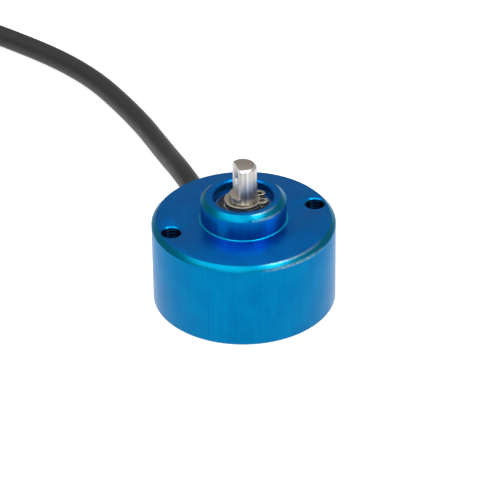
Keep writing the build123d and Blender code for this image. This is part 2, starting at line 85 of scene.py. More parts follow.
# %% [markdown]
# ## Camera
# A small turned part is looked at from a distance through a long lens, so that its round
# edges stay true ellipses. The camera stands in front, a third of the way up, and looks
# along the body from the side of the shaft's flat. We build its matrix from one place and
# three turns, because a person can read and change those.

# %% Place the camera
camera_place = Vector((-172.93, -497.78, 356.48)) * MM
camera_turn = math.radians(-19.3)
camera_tilt = math.radians(56.776)
camera_roll = math.radians(-0.685)
focal_length = 208.08
lens_data = bpy.data.cameras.new("long_lens")
lens_data.sensor_width = 36
lens_data.lens = focal_length
lens_data.clip_start = 0.01
camera = bpy.data.objects.new("camera", lens_data)
bpy.context.scene.collection.objects.link(camera)
camera.matrix_world = (
    Matrix.Translation(camera_place)
    @ Matrix.Rotation(camera_turn, 4, "Z")
    @ Matrix.Rotation(camera_tilt, 4, "X")
    @ Matrix.Rotation(camera_roll, 4, "Z")
)
bpy.context.scene.camera = camera
print("camera stands", round(camera_place.length, 3), "m from the encoder")

# %% [markdown]
# ## Cable
# The cable is one smooth curve: straight out of the grommet, down to the table, away in a
# long bend, and then its spare length wound into a neat coil of five turns. Three turns lie
# side by side and two rest in the hollows between them. A chain of arcs would look like bent
# wire. A NURBS spline of order 3 touches the middle of each leg between its points instead,
# which is how a real cable rounds its corners.

# %% Route of the cable
cable_radius = 2.5
cable_route = [
    (0.0, 29.8, 7.0),
    (0.0, 40.5, 7.0),
    (0.3, 55.0, 4.3),
    (-0.1, 77.0, 2.5),
    (-5.5, 104.0, 2.5),
    (-22.0, 131.0, 2.5),
    (-36.5, 149.0, 2.7),
    (-42.8, 165.5, 3.1),
    (-44.3, 180.0, 3.3),
]
tail_route = [
    (-28.6, 163.7, 7.7),
    (-34.4, 168.7, 8.7),
    (-39.2, 179.3, 11.3),
    (-39.3, 191.0, 13.1),
    (-35.0, 201.7, 13.1),
    (-26.4, 209.4, 13.1),
    (-15.8, 212.5, 13.1),
    (-4.9, 210.8, 13.1),
]
coil_centre = Vector((-14.0, 187.0))
coil_radii = [30.0, 25.0, 20.0, 22.5, 27.5]
coil_floor = 3.3
coil_upper = coil_floor + cable_radius * math.sqrt(3)
coil_start = 180
coil_sweep = 4 * 360 + 290
coil_step = 22.5
floor_turns = 3
climb_arc = 60
climb_start, climb_end = 205, 285
jog_start, jog_end = 290, 360
jog_rise = 0.8


def smooth(value, low, high):
    """Rises gently from 0 at low to 1 at high."""
    share = min(max((value - low) / (high - low), 0), 1)
    return share * share * (3 - 2 * share)


def coil_place(sweep):
    """Radius and height of the cable's middle after so many degrees of winding."""
    turn, angle = divmod(sweep, 360)
    turn = int(turn)
    last_on_floor = floor_turns - 1
    radius = coil_radii[turn]
    height = coil_floor if turn < floor_turns else coil_upper
    if turn == last_on_floor:
        climb = math.radians(180 - climb_arc * smooth(angle, climb_start, climb_end))
        radius = coil_radii[1] + 2 * cable_radius * math.cos(climb)
        height = coil_floor + 2 * cable_radius * math.sin(climb)
    jog = smooth(angle, jog_start, jog_end)
    if turn != last_on_floor and turn < len(coil_radii) - 1:
        radius += (coil_radii[turn + 1] - radius) * jog
    if turn >= last_on_floor:
        height += jog_rise * math.sin(math.pi * jog)
    return radius, height


coil_points = []
outward = 1 / math.cos(math.radians(coil_step / 2))
for step in range(1, int(coil_sweep / coil_step) + 1):
    radius, height = coil_place(step * coil_step)
    angle = math.radians(coil_start - step * coil_step)
    across = coil_centre + Vector((math.cos(angle), math.sin(angle))) * radius * outward
    coil_points.append((across.x, across.y, height))
print("the coil takes", len(coil_points), "points")


# %% Lay the cable
def soft_curve(name, points, radius, resolution=8, roundness=8):
    """A round cord on one NURBS spline through the given control points, in metres.

    Its points carry the radius, on a bevel of 1. A curve's own box counts that radius.
    """
    data = bpy.data.curves.new(name, "CURVE")
    data.dimensions = "3D"
    spline = data.splines.new("NURBS")
    spline.points.add(len(points) - 1)
    for place, point in zip(spline.points, points):
        place.co = (*point, 1)
        place.radius = radius
    spline.order_u = 3
    spline.use_endpoint_u = True
    spline.resolution_u = resolution
    data.bevel_depth = 1.0
    data.bevel_resolution = roundness
    data.use_fill_caps = True
    cord = bpy.data.objects.new(name, data)
    bpy.context.scene.collection.objects.link(cord)
    return cord


cable = soft_curve(
    "cable_jacket", mm(*cable_route, *coil_points, *tail_route), cable_radius * MM
)
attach(cable, "housing")
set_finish(cable, "cable_jacket")
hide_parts("cable", "cable_coil", "cable_tail")
lead_colours = ("red", "black", "white", "green", "yellow")
lead_count = len(lead_colours)
print("cable laid with", len(cable.data.splines[0].points), "points")

# %% [markdown]
# ## From bmesh to a finished piece
# Every new piece ends the same way. Its bmesh becomes a mesh, its round walls are shaded
# smoothly up to a sharp angle, and it rides on the body that it is fixed to. Its place stays
# in the mesh, so the object itself sits at the origin.

# %% Helpers for pieces
SHARP = math.radians(32)
SAME_PLACE = MM / 1000


def make_piece(bm, name, body, slot, replaced=()):
    """A bmesh as a piece that rides on a body and may stand for plain CAD pieces."""
    mesh = bpy.data.meshes.new(name)
    bm.to_mesh(mesh)
    bm.free()
    mesh.shade_smooth()
    mesh.set_sharp_from_angle(angle=SHARP)
    piece = bpy.data.objects.new(name, mesh)
    bpy.context.scene.collection.objects.link(piece)
    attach(piece, body)
    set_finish(piece, slot)
    if replaced:
        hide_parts(*replaced)
    print(name, "has", len(mesh.polygons), "faces")
    return piece


def round_edges(piece, width, segments=2):
    """A Bevel modifier that breaks the sharp edges of a piece."""
    bevel = piece.modifiers.new("broken_edges", "BEVEL")
    bevel.width = width * MM
    bevel.segments = segments
    bevel.limit_method = "ANGLE"
    bevel.angle_limit = SHARP
    bevel.harden_normals = True


def spin_outline(bm, outline, steps=64):
    """Turn a closed outline of (radius, height) in mm round the Z axis, as on a lathe."""
    corners = [bm.verts.new((radius * MM, 0, height * MM)) for radius, height in outline]
    ring = [bm.edges.new(pair) for pair in zip(corners, corners[1:] + corners[:1])]
    bmesh.ops.spin(
        bm,
        geom=corners + ring,
        cent=(0, 0, 0),
        axis=(0, 0, 1),
        angle=math.tau,
        steps=steps,
        use_merge=True,
    )
    bmesh.ops.remove_doubles(bm, verts=bm.verts, dist=SAME_PLACE)
    bmesh.ops.recalc_face_normals(bm, faces=bm.faces)


# %% [markdown]
# ## Broken edges
# No machined edge is truly sharp: the deburring wheel leaves a narrow round that catches the
# light as a fine bright line. Bevelling the CAD mesh itself would change the frame, so a copy
# of each hard piece is merged, its flat faces are made whole again, and only its sharp edges
# are bevelled by a few hundredths of a millimetre.


# %% Break the edges of the hard pieces
FLAT = math.radians(0.3)


def break_edges(name, width, segments=2):
    """A copy of a CAD piece with its sharp edges broken, which stands for the plain one."""
    bm = bmesh.new()
    bm.from_mesh(frame["nodes"][name].data)
    bmesh.ops.remove_doubles(bm, verts=bm.verts, dist=SAME_PLACE)
    bmesh.ops.dissolve_limit(bm, angle_limit=FLAT, verts=bm.verts, edges=bm.edges)
    sharp = [edge for edge in bm.edges if edge.calc_face_angle(0) > SHARP]
    bmesh.ops.bevel(
        bm,
        geom=sharp,
        offset=width * MM,
        segments=segments,
        profile=0.5,
        affect="EDGES",
        material=-1,
        clamp_overlap=True,
    )
    body = frame["nodes"][name]["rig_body"]
    return make_piece(bm, f"{name}_deburred", body, slot_of[name], [name])


edge_widths = {
    "housing": 0.07,
    "rear_cover": 0.06,
    "cover_screws": 0.05,
    "shaft": 0.06,
    "retaining_ring": 0.09,
    "shim_washer": 0.06,
    "board_screws": 0.05,
    "board_standoffs": 0.06,
    "magnet_holder": 0.06,
    "magnet": 0.12,
    "sensor_chip": 0.04,
    "line_driver_chip": 0.06,
    "sensor_leads": 0.05,
    "circuit_board": 0.04,
}
for name, width in edge_widths.items():
    break_edges(name, width)

# %% [markdown]
# ## Mounting threads
# The two holes in the flange are tapped. A bolt thread is one ridge wound up the wall, so a
# triangle is spun around the hole's axis while it climbs one pitch a turn. A bump texture
# would vanish at the hole's rim, and real ridges catch a light line there.

# %% Wind the threads
thread_pitch = 0.7
thread_depth = 0.36
thread_root = 2.03
thread_start = 0.62
ridge_share = 0.44
thread_length = 6.3
thread_steps = 32
flange_height = 19.7
hole_places = (-16.5, 16.5)


def wind_thread(bm, hole_x, first_height):
    """One helical ridge inside a hole, closed at both ends."""
    half = thread_pitch * ridge_share
    section = [(thread_root, -half), (thread_root - thread_depth, 0), (thread_root, half)]
    corners = [
        bm.verts.new(((hole_x + radius) * MM, 0, (first_height + rise) * MM))
        for radius, rise in section
    ]
    start = bm.faces.new(corners)
    turns = thread_length / thread_pitch
    bmesh.ops.spin(
        bm,
        geom=[start, *start.edges, *corners],
        cent=(hole_x * MM, 0, 0),
        axis=(0, 0, 1),
        dvec=(0, 0, -thread_pitch * MM / thread_steps),
        angle=math.tau * turns,
        steps=int(thread_steps * turns),
        use_duplicate=False,
    )


threads = bmesh.new()
for hole_x in hole_places:
    wind_thread(threads, hole_x, flange_height - thread_start)
bmesh.ops.recalc_face_normals(threads, faces=threads.faces)
make_piece(threads, "mounting_threads", "housing", "anodised_blue")

# %% [markdown]
# ## Grommet
# The cable leaves the housing through a moulded rubber grommet: a flange that seats on the
# wall and a ribbed boot that lets the cable bend without a kink. It is a round moulding, so
# one outline is spun, and the ribs are made by a loop along the taper.

# %% Mould the grommet
grommet_low, grommet_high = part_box("cable_grommet")
grommet_inside = grommet_low.y / MM
grommet_tip = grommet_high.y / MM
flange_radius = (grommet_high.x - grommet_low.x) / 2 / MM
cable_height = (grommet_high.z + grommet_low.z) / 2 / MM
cable_face = 19.2
flange_thickness = 1.6
flange_end = cable_face + flange_thickness
neck_wall, boot_step, tip_wall = 0.6, 0.4, 0.7
lip_reach, lip_length = 0.4, 1.0
neck_radius = cable_radius + neck_wall
boot_start_radius = flange_radius - boot_step
boot_tip_radius = cable_radius + tip_wall
first_rib_width = 0.35
rib_count = 5
rib_width = 0.95
groove_width = 0.65
groove_depth = 0.5
groove_slope = 0.1


def boot_radius(y):
    """The boot's tapered radius at y."""
    share = (y - flange_end) / (grommet_tip - flange_end)
    return boot_start_radius + (boot_tip_radius - boot_start_radius) * share


grommet_outline = [
    (cable_radius, grommet_inside),
    (neck_radius + lip_reach, grommet_inside),
    (neck_radius + lip_reach, grommet_inside + lip_length),
    (neck_radius, grommet_inside + lip_length),
    (neck_radius, cable_face),
    (flange_radius, cable_face),
    (flange_radius, flange_end),
    (boot_radius(flange_end), flange_end),
]
for rib in range(rib_count):
    groove = flange_end + first_rib_width + rib * (rib_width + groove_width)
    groove_end = groove + groove_width
    grommet_outline += [
        (boot_radius(groove), groove),
        (boot_radius(groove) - groove_depth, groove + groove_slope),
        (boot_radius(groove) - groove_depth, groove_end - groove_slope),
        (boot_radius(groove_end), groove_end),
    ]
grommet_outline += [(boot_tip_radius, grommet_tip), (cable_radius, grommet_tip)]
moulding = bmesh.new()
spin_outline(moulding, grommet_outline)
lay_down = Matrix.Rotation(-math.pi / 2, 4, "X")
lay_along_y = Matrix.Translation((0, 0, cable_height * MM)) @ lay_down
bmesh.ops.transform(moulding, matrix=lay_along_y, verts=moulding.verts)
grommet_boot = make_piece(moulding, "grommet_boot", "housing", "black_rubber", ["cable_grommet"])
round_edges(grommet_boot, 0.1)

# %% [markdown]
# ## Bearing shields
# Each ball bearing is closed by two pressed steel shields. A press leaves a soft step in the
# disc and rolls its outer edge into the ring. Both are turned from thin outlines, because a
# flat washer would look cut from card.

# %% Press the shields
shield_sheet = 0.12
shield_step = 0.1
shield_gap = 0.08
inner_land, outer_land, press_slope = 0.35, 0.4, 0.15


def shield_outline(inner, outer, height, outward_sign):
    """The closed section of one shield whose outer face lies at height."""
    profile = [
        (inner, 0.0),
        (inner + inner_land, 0.0),
        (inner + inner_land + press_slope, -shield_step),
        (outer - outer_land - press_slope, -shield_step),
        (outer - outer_land, 0.0),
        (outer, 0.0),
    ]
    top = [(radius, height + outward_sign * rise) for radius, rise in profile]
    under = [(radius, z - outward_sign * shield_sheet) for radius, z in reversed(top)]
    return top + under


for bearing in ("front", "rear"):
    shields_low, shields_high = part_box(f"{bearing}_bearing_shields")
    ring_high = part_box(f"{bearing}_bearing_inner_ring")[1]
    inner = ring_high.x / MM + shield_gap
    outer = shields_high.x / MM
    pressed = bmesh.new()
    spin_outline(pressed, shield_outline(inner, outer, shields_high.z / MM, 1))
    spin_outline(pressed, shield_outline(inner, outer, shields_low.z / MM, -1))
    shield_name = f"{bearing}_bearing_shields"
    shields = make_piece(
        pressed, f"{bearing}_pressed_shields", "housing", "shield_steel", [shield_name]
    )
    round_edges(shields, 0.03)

# %% [markdown]
# ## Cable ties
# Two nylon ties hold the coil. Each is a strap pulled tight round the bundle and a head with
# a slot that the strap has passed through. The straps are deburred copies of the CAD bands.
# Each head is a block whose upper face is inset and pushed in to make the slot, and the cut
# end of the strap stands a little out of it.

# %% Straps and heads
straps = break_edges("coil_ties", 0.25, 3)
head_size = (6.4, 5.6, 3.0)
head_edge = 0.7
strap_width = 5.0
strap_thickness = 0.8
stub_length = 4.5
stub_sunk = 0.5
stub_drop = 0.2
stub_edge = 0.15
stub_tilt = math.radians(12)
slot_border = 0.9
slot_depth = 1.1
strap_play = 0.4
straps_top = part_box("coil_ties")[1].z / MM


def add_block(bm, size, matrix, edge):
    """A box of a size in mm with rounded edges, set in place by a matrix in metres."""
    block = bmesh.ops.create_cube(bm, size=1)
    scale = Matrix.Diagonal((*(side * MM for side in size), 1))
    bmesh.ops.transform(bm, matrix=matrix @ scale, verts=block["verts"])
    edges = dict.fromkeys(e for vert in block["verts"] for e in vert.link_edges)
    bmesh.ops.bevel(
        bm,
        geom=list(edges),
        offset=edge * MM,
        segments=3,
        profile=0.5,
        affect="EDGES",
        material=-1,
    )


tie_angles = (-8.0, 250.0)
tie_reach = 25.0
head_lift = 1.1
heads = bmesh.new()
for tie_angle in tie_angles:
    turn = Matrix.Rotation(math.radians(tie_angle), 4, "Z")
    over_centre = Vector((*coil_centre, straps_top + head_lift))
    place = (turn @ Vector((tie_reach, 0, 0)) + over_centre) * MM
    seat = Matrix.Translation(place) @ turn
    add_block(heads, head_size, seat, head_edge)
    near = [
        face
        for face in heads.faces
        if (face.calc_center_median() - place).length < head_size[0] * MM
    ]
    crown = max(near, key=lambda face: face.calc_center_median().z)
    bmesh.ops.inset_region(heads, faces=[crown], thickness=slot_border * MM)
    pushed = bmesh.ops.extrude_face_region(heads, geom=[crown])
    heads.faces.remove(crown)
    sunk = [item for item in pushed["geom"] if isinstance(item, bmesh.types.BMVert)]
    bmesh.ops.translate(heads, vec=(0, 0, -slot_depth * MM), verts=sunk)
    lean = Matrix.Rotation(stub_tilt, 4, "Y")
    stub_reach = (head_size[0] + stub_length) / 2 - stub_sunk
    reach = Matrix.Translation(Vector((stub_reach, 0, -stub_drop)) * MM)
    stub_size = (stub_length, strap_width - strap_play, strap_thickness)
    add_block(heads, stub_size, seat @ reach @ lean, stub_edge)
bmesh.ops.recalc_face_normals(heads, faces=heads.faces)
tie_heads = make_piece(heads, "tie_heads", "housing", "tie_black")

# %% [markdown]
# ## Far end of the cable
# The jacket ends under a heat-shrink sleeve, which clings to the five leads where they leave
# it, so its end is drawn in and has five soft lobes. Each lead carries a crimped ferrule: a
# thin tin-plated tube with a flared mouth, squeezed flat in the middle by the crimping tool.

# %% Shrink the sleeve
sleeve_length = 11.0
sleeve_outline = [
    (2.35, 0.0),
    (2.8, 0.0),
    (2.9, 0.25),
    (2.88, 2.2),
    (2.82, 4.5),
    (2.75, 6.0),
    (2.5, 7.5),
    (2.3, 9.0),
    (2.2, 10.6),
    (2.1, 11.0),
    (1.2, 11.0),
    (1.2, 0.0),
]
lobe_start = 5.0
lobe_depth = 0.14
tail_end = Vector(tail_route[-1])
tail_heading = (tail_end - Vector(tail_route[-2])).normalized()
shrunk = bmesh.new()
spin_outline(shrunk, sleeve_outline, 80)
for vert in shrunk.verts:
    hold = smooth(vert.co.z / MM, lobe_start, sleeve_length)
    around = math.atan2(vert.co.y, vert.co.x)
    pull = 1 + hold * lobe_depth * (math.cos(lead_count * around) - 1) / 2
    vert.co.x *= pull
    vert.co.y *= pull
sleeve_turn = tail_heading.to_track_quat("Z", "Y").to_matrix().to_4x4()
sleeve_place = Matrix.Translation(tail_end * MM) @ sleeve_turn
bmesh.ops.transform(shrunk, matrix=sleeve_place, verts=shrunk.verts)
shrink_sleeve = make_piece(shrunk, "shrink_sleeve", "housing", "sleeve_black", ["end_sleeve"])

# %% Crimp the ferrules
lead_radius = 0.5
flying_fan = 8.0
flying_turn = -60.0
ferrule_outline = [
    (0.56, 0.0),
    (0.75, 0.0),
    (0.75, 0.3),
    (0.62, 0.9),
    (0.62, 1.6),
    (0.5, 2.0),
    (0.5, 4.6),
    (0.58, 5.0),
    (0.58, 5.9),
    (0.5, 6.0),
    (0.2, 6.0),
    (0.2, 0.0),
]
crimp_start, crimp_end = 1.9, 4.7
crimp_share = 0.72
crimped = bmesh.new()
for number, colour in enumerate(lead_colours):
    turn = flying_turn + (number - (lead_count - 1) / 2) * flying_fan
    low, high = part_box(f"flying_lead_{colour}")
    tube = bmesh.new()
    spin_outline(tube, ferrule_outline, 20)
    for vert in tube.verts:
        if crimp_start < vert.co.z / MM < crimp_end:
            vert.co.x *= crimp_share
    heading = Matrix.Rotation(math.radians(turn), 3, "Z") @ tail_heading
    tip_x = high.x - lead_radius * abs(heading.y) * MM
    tip_y = low.y + lead_radius * abs(heading.x) * MM
    tip = Vector((tip_x, tip_y, low.z + lead_radius * MM))
    aim = heading.to_track_quat("Z", "Y").to_matrix().to_4x4()
    place = Matrix.Translation(tip) @ aim
    bmesh.ops.transform(tube, matrix=place, verts=tube.verts)
    shell = bpy.data.meshes.new("ferrule")
    tube.to_mesh(shell)
    tube.free()
    crimped.from_mesh(shell)
    bpy.data.meshes.remove(shell)
ferrules = make_piece(crimped, "crimped_ferrules", "housing", "tinned_metal", ["lead_ferrules"])

# %% [markdown]
# ## Solder joints and end caps
# Inside, each lead is soldered to its pad in a small shining cone of tin, and each ceramic
# capacitor has a tinned cap at both ends. They are flattened spheres cut off at the board,
# and thin boxes that stand a hair proud of the ceramic.

# %% Solder the leads
pads_low, pads_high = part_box("solder_pads")
pad_pitch = 2.5
joint_radii = (0.78, 0.98, 1.05)
joint_sink = 0.02
solder = bmesh.new()
for number in range(lead_count):
    pad_x = (number - (lead_count - 1) / 2) * pad_pitch
    centre = Vector((pad_x * MM, (pads_low.y + pads_high.y) / 2, pads_high.z))
    blob = bmesh.ops.create_uvsphere(solder, u_segments=20, v_segments=12, radius=MM)
    shape = Matrix.Translation(centre) @ Matrix.Diagonal((*joint_radii, 1))
    bmesh.ops.transform(solder, matrix=shape, verts=blob["verts"])
bmesh.ops.bisect_plane(
    solder,
    geom=[*solder.verts, *solder.edges, *solder.faces],
    plane_co=(0, 0, pads_high.z - joint_sink * MM),
    plane_no=(0, 0, 1),
    clear_inner=True,
)
open_rims = [edge for edge in solder.edges if edge.is_boundary]
bmesh.ops.edgeloop_fill(solder, edges=open_rims)
bmesh.ops.recalc_face_normals(solder, faces=solder.faces)
make_piece(solder, "solder_joints", "housing", "tinned_metal")

# %% Cap the capacitors
capacitor_body = (1.6, 0.8, 0.7)
cap_reach = 0.32
cap_proud = 0.04
cap_edge = 0.05
capacitor_mesh = frame["nodes"]["board_capacitors"].data
board_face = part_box("board_capacitors")[0].z
loose = bmesh.new()
loose.from_mesh(capacitor_mesh)
bmesh.ops.remove_doubles(loose, verts=loose.verts, dist=SAME_PLACE)
unseen = set(loose.verts)
caps = bmesh.new()
for seed in loose.verts:
    if seed not in unseen:
        continue
    unseen.remove(seed)
    island = [seed]
    for vert in island:
        for edge in vert.link_edges:
            other = edge.other_vert(vert)
            if other in unseen:
                unseen.remove(other)
                island.append(other)
    low_x = min(vert.co.x for vert in island)
    high_x = max(vert.co.x for vert in island)
    middle_y = sum(vert.co.y for vert in island) / len(island)
    for end in (low_x + cap_reach / 2 * MM, high_x - cap_reach / 2 * MM):
        place = Vector((end, middle_y, board_face + capacitor_body[2] / 2 * MM))
        size = (
            cap_reach + cap_proud,
            capacitor_body[1] + cap_proud,
            capacitor_body[2] + cap_proud,
        )
        add_block(caps, size, Matrix.Translation(place), cap_edge)
loose.free()
make_piece(caps, "capacitor_caps", "housing", "tinned_metal")

# %% [markdown]
# ## Finishes from nodes
# A finish is a Principled shader whose colour, roughness and relief come from patterns on
# Object coordinates, which are the frame's own metres. Three patterns serve most pieces:
# rings round an axis for turned faces, streaks along an axis for ground and drawn ones, and
# an even grain for mouldings. Each real finish then mixes them at its own scale.


# %% Node helpers
def add(material, kind, inputs=None, **settings):
    """Add a shader node. An input is a plain value or the output of another node."""
    node = material.node_tree.nodes.new("ShaderNode" + kind)
    for name, value in settings.items():
        setattr(node, name, value)
    for socket, value in (inputs or {}).items():
        if isinstance(value, bpy.types.NodeSocket):
            material.node_tree.links.new(value, node.inputs[socket])
        else:
            node.inputs[socket].default_value = value
    return node


def new_finish(name, metallic=0.0, **sockets):
    """A material with a Principled shader, and that shader."""
    material = bpy.data.materials.new(name)
    material.use_nodes = True
    shader = material.node_tree.nodes["Principled BSDF"]
    shader.inputs["Metallic"].default_value = metallic
    for socket, value in sockets.items():
        label = socket.replace("_", " ").title().replace("Ior", "IOR")
        shader.inputs[label].default_value = value
    return material, shader


def place_on(material):
    """Object coordinates, in metres."""
    return add(material, "TexCoord").outputs["Object"]


def grain(material, size, detail=3.0, stretch=(1, 1, 1)):
    """Noise with features of a size in mm, stretched by a factor along each axis."""
    frequency = [1 / (size * MM * factor) for factor in stretch]
    spread = add(
        material,
        "VectorMath",
        {0: place_on(material), 1: frequency},
        operation="MULTIPLY",
    )
    noise = add(
        material, "TexNoise", {"Vector": spread.outputs[0], "Scale": 1.0, "Detail": detail}
    )
    return noise.outputs[0]


def from_axis(material, flatten=(1, 1, 0), centre=(0, 0, 0)):
    """Distance in metres from an axis. The axis is where flatten has its nought."""
    moved = add(
        material, "VectorMath", {0: place_on(material), 1: centre}, operation="SUBTRACT"
    )
    flat = add(
        material, "VectorMath", {0: moved.outputs[0], 1: flatten}, operation="MULTIPLY"
    )
    distance = add(material, "VectorMath", {0: flat.outputs[0]}, operation="LENGTH")
    return distance.outputs["Value"]


def rings(material, pitch, detail=2.0, flatten=(1, 1, 0), centre=(0, 0, 0)):
    """Uneven turning rings round an axis, about a pitch in mm apart."""
    radius = from_axis(material, flatten, centre)
    count = add(material, "Math", {0: radius, 1: 1 / (pitch * MM)}, operation="MULTIPLY")
    noise = add(
        material,
        "TexNoise",
        {"W": count.outputs[0], "Scale": 1.0, "Detail": detail},
        noise_dimensions="1D",
    )
    return noise.outputs[0]


def span(material, value, low, high, to_low=0.0, to_high=1.0):
    """Map a value from one span to another, held at the ends."""
    mapped = add(
        material,
        "MapRange",
        {
            "Value": value,
            "From Min": low,
            "From Max": high,
            "To Min": to_low,
            "To Max": to_high,
        },
    )
    return mapped.outputs["Result"]


def blend(material, share, first, second):
    """A colour between two, which are plain or come from other nodes."""
    mix = add(material, "Mix", data_type="RGBA")
    sockets = {0: share, 6: first, 7: second}
    for number, value in sockets.items():
        if isinstance(value, bpy.types.NodeSocket):
            material.node_tree.links.new(value, mix.inputs[number])
        elif number == 0:
            mix.inputs[0].default_value = value
        else:
            mix.inputs[number].default_value = (*value, 1)
    return mix.outputs[2]


def total(material, *values):
    """The sum of several values."""
    made = values[0]
    for value in values[1:]:
        made = add(material, "Math", {0: made, 1: value}, operation="ADD").outputs[0]
    return made


def product(material, first, second):
    """Two values multiplied, such as two masks that must both hold."""
    return add(material, "Math", {0: first, 1: second}, operation="MULTIPLY").outputs[0]


def connect(material, shader, colour, roughness, relief, depth):
    """Link a finish's colour and roughness, and a relief so many mm deep, to its shader."""
    links = material.node_tree.links
    links.new(colour, shader.inputs["Base Color"])
    links.new(roughness, shader.inputs["Roughness"])
    bump = add(material, "Bump", {"Height": relief, "Distance": depth * MM, "Strength": 1.0})
    links.new(bump.outputs["Normal"], shader.inputs["Normal"])
    return material


finishes = {}

# %% [markdown]
# ## Blue anodising
# Anodised aluminium is bare metal seen through a dyed, glassy skin. So it is metallic, its
# reflections are blue, and a trace of clear coat stands for the skin itself. The flange and
# boss are turned, which leaves rings, and everything above the flange face is painted a deeper
# blue, as painted shade for how these upper faces look under this light. The wall has a fine
# upright grain. The chamfers get their own painted blue, set to how they look lit from
# overhead, the fillet at the boss's foot is a painted highlight in paler blue, and pale specks
# on the chamfer rims at the front right are a painted glint. The tapped holes are painted near
# black, as painted shade. Masks from radius and height find each of these places.

# %% Anodise the aluminium
anodising, anodised = new_finish(
    "blue_anodising",
    1.0,
    coat_weight=0.01,
    coat_roughness=0.12,
    specular_tint=(0.72, 0.82, 0.92, 1),
)
body_radius = 20.0
body_chamfer = 1.0
boss_radius = 9.3
boss_top = 25.5
boss_chamfer = 1.15
deep_blue = (0.0, 0.118, 0.3)
bright_blue = (0.0, 0.195, 0.405)
# Painted shade: everything above the flange face gets these deeper blues, for how its upper faces
# look under this light.
upper_shade_deep_blue = (0.0, 0.098, 0.37)
upper_shade_bright_blue = (0.0, 0.168, 0.52)
# Painted light: the chamfers get their own blue, set to how they look lit from overhead.
painted_chamfer_blue = (0.0, 0.15, 0.265)
# Painted highlight: a paler blue along the fillet at the boss's foot.
root_highlight_blue = (0.0, 0.34, 0.55)
# Painted glint: a pale colour for specks on the chamfer rims at the front right.
glint_blue = (0.22, 0.35, 0.44)
shade_blue = (0.0, 0.004, 0.014)
upright = grain(anodising, 0.35, 3.0, (1, 1, 40))
cloud = grain(anodising, 5.0, 3.0)
turned = rings(anodising, 0.22)
mottle = total(
    anodising,
    span(anodising, upright, 0.3, 0.7, 0.0, 0.3),
    span(anodising, turned, 0.3, 0.7, 0.0, 0.3),
    span(anodising, cloud, 0.3, 0.7, 0.0, 0.4),
)
height = add(anodising, "SeparateXYZ", {0: place_on(anodising)}).outputs["Z"]
radius = from_axis(anodising)
slant = total(anodising, radius, height)
body_slant = body_radius + flange_height - body_chamfer
boss_slant = boss_radius + boss_top - boss_chamfer
# Mask for the painted shade above the flange face.
on_flange = span(anodising, height, (flange_height - 0.1) * MM, (flange_height - 0.04) * MM)
on_body_chamfer = span(anodising, slant, (body_slant - 0.1) * MM, (body_slant - 0.03) * MM)
over_boss = span(anodising, radius, (boss_radius + 0.08) * MM, (boss_radius + 0.03) * MM)
past_slant = span(anodising, slant, (boss_slant - 0.1) * MM, (boss_slant - 0.03) * MM)
on_boss_chamfer = product(anodising, past_slant, over_boss)
dyed = blend(
    anodising,
    mottle,
    blend(anodising, on_flange, deep_blue, upper_shade_deep_blue),
    blend(anodising, on_flange, bright_blue, upper_shade_bright_blue),
)
rims = [
    (body_radius, flange_height - body_chamfer),
    (body_radius - body_chamfer, flange_height),
    (boss_radius, boss_top - boss_chamfer),
    (boss_radius - boss_chamfer, boss_top),
]
edge_reach, edge_core = 0.45, 0.1
# The painted glint faces this way, towards the front right, where the light catches the rims.
glint_heading = (0.29, -0.957, 0.0)
glint_start, glint_full = 0.9, 0.99
hole_edge, hole_wall = 2.16, 2.04
near_rims = None
for rim_radius, rim_height in rims:
    out = add(anodising, "Math", {0: radius, 1: rim_radius * MM}, operation="SUBTRACT")
    rise = add(anodising, "Math", {0: height, 1: rim_height * MM}, operation="SUBTRACT")
    apart = add(
        anodising, "CombineXYZ", {"X": out.outputs[0], "Y": rise.outputs[0], "Z": 0.0}
    )
    gap = add(anodising, "VectorMath", {0: apart.outputs[0]}, operation="LENGTH")
    near = span(anodising, gap.outputs["Value"], edge_reach * MM, edge_core * MM)
    near_rims = near if near_rims is None else total(anodising, near_rims, near)
edge = span(anodising, near_rims, 0, 1)
flat_place = add(
    anodising, "VectorMath", {0: place_on(anodising), 1: (1, 1, 0)}, operation="MULTIPLY"
)
heading = add(anodising, "VectorMath", {0: flat_place.outputs[0]}, operation="NORMALIZE")
facing = add(
    anodising, "VectorMath", {0: heading.outputs[0], 1: glint_heading}, operation="DOT_PRODUCT"
)
glint_side = span(anodising, facing.outputs["Value"], glint_start, glint_full)
glint_specks = span(anodising, grain(anodising, 1.1, 4.0), 0.35, 0.65, 0.25, 0.8)
# Painted glint: pale specks near the chamfer rims, on the front right side only.
painted_glint = product(anodising, product(anodising, edge, glint_specks), glint_side)
in_holes = None
for hole_x in hole_places:
    off_axis = from_axis(anodising, centre=(hole_x * MM, 0, 0))
    inside = span(anodising, off_axis, hole_edge * MM, hole_wall * MM)
    in_holes = inside if in_holes is None else total(anodising, in_holes, inside)
# Mask for the painted highlight along the fillet at the boss's foot.
at_foot = span(anodising, height, (flange_height + 0.25) * MM, (flange_height + 0.16) * MM)
at_wall = span(anodising, radius, (boss_radius + 0.45) * MM, (boss_radius + 0.25) * MM)
on_root_highlight = product(anodising, at_foot, at_wall)
# Painted light: the chamfers take their own blue here, set to their lit look.
on_chamfer = total(anodising, on_body_chamfer, on_boss_chamfer)
with_painted_chamfers = blend(anodising, on_chamfer, dyed, painted_chamfer_blue)
shaded = blend(
    anodising,
    in_holes,
    blend(anodising, on_root_highlight, with_painted_chamfers, root_highlight_blue),
    shade_blue,
)
finishes["anodised_blue"] = connect(
    anodising,
    anodised,
    blend(anodising, painted_glint, shaded, glint_blue),
    span(anodising, total(anodising, upright, turned), 0.6, 1.4, 0.27, 0.37),
    total(anodising, upright, turned),
    0.012,
)
print("the anodising is", len(anodising.node_tree.nodes), "nodes")


# %% [markdown]
# ## Steels
# Every steel piece here is metal with its own marks. The shaft is ground: fine streaks run
# along it, and its sawn end is turned. The retaining ring and spring are stamped and oiled,
# so they are warmer and cloudy. Bearing rings are ground round and round and almost polished.

